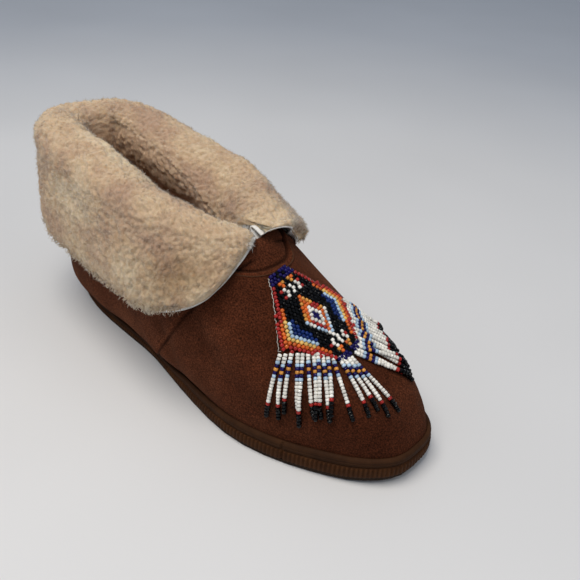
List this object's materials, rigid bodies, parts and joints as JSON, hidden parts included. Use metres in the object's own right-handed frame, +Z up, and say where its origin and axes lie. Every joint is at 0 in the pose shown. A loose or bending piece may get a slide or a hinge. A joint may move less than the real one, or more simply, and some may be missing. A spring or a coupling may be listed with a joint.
{
  "type": "moccasin slipper",
  "caption": "Suede moccasin slipper with a folded sheepskin cuff, ribbed rubber sole edge and a beaded ornament with fringe on the instep.",
  "frame": {"origin": "on the floor below the middle of the slipper's box", "axes": "+X along the foot to the toe, +Y to the wearer's left (the inner side of this right slipper), +Z up"},
  "size_m": [0.2866, 0.1134, 0.1287],
  "materials": {
    "outsole": "matte",
    "foxing": "satin",
    "upper": "suede nap",
    "insole": "short pile",
    "cuff": "curly sheepskin pile",
    "bead_ornament": "glossy glass seed beads in several colours"
  },
  "bodies": {
    "root": {"outsole": "outsole", "foxing": "foxing", "upper": "upper", "insole": "insole", "cuff": "cuff", "bead_ornament": "bead_ornament"}
  },
  "joints": []
}
